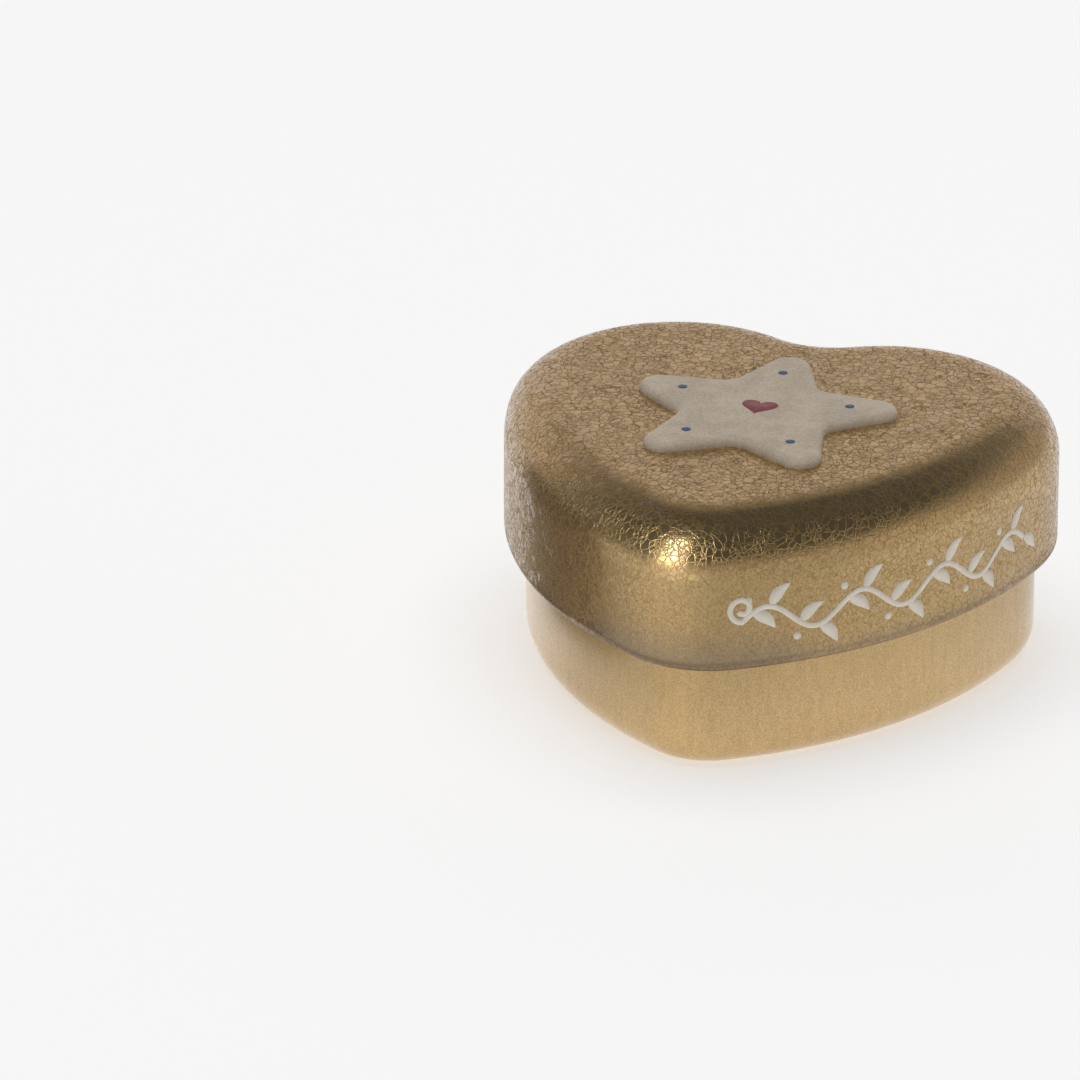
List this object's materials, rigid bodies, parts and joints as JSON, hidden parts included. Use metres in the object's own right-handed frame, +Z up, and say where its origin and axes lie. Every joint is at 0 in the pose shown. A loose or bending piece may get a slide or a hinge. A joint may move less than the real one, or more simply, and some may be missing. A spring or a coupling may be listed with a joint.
{
  "type": "heart-shaped keepsake tin",
  "caption": "Small heart-shaped tin for milk teeth: a drawn gold base with a rolled rim and a deep slip-over lid with a rounded top, crackled gold skirt and raised enamelled motif.",
  "frame": {"origin": "on the table, under the middle of the closed tin's outline", "axes": "+Z up, the way the lid lifts; the heart's point faces -Y and its lobes face +Y; +X along the width, across the plane of symmetry"},
  "size_m": [0.064, 0.0614, 0.0319],
  "materials": {
    "satin_gold": "smooth satin gold lacquer on tinplate",
    "crackle_gold": "gold lacquer with a fine brown crackle on tinplate",
    "cream_enamel": "thick matt cream enamel, slightly grainy",
    "cream_paint": "thin matt off-white paint",
    "blue_paint": "thin matt blue paint",
    "red_paint": "thin matt muted red paint"
  },
  "bodies": {
    "base": {"base_tin": "satin_gold"},
    "lid": {"lid_tin": "crackle_gold", "motif_enamel": "cream_enamel"}
  },
  "joints": [
    {"name": "lid_lift", "type": "slide", "parent": "base", "child": "lid", "axis": [0, 0, 1], "range_m": [0, 0.04]}
  ]
}
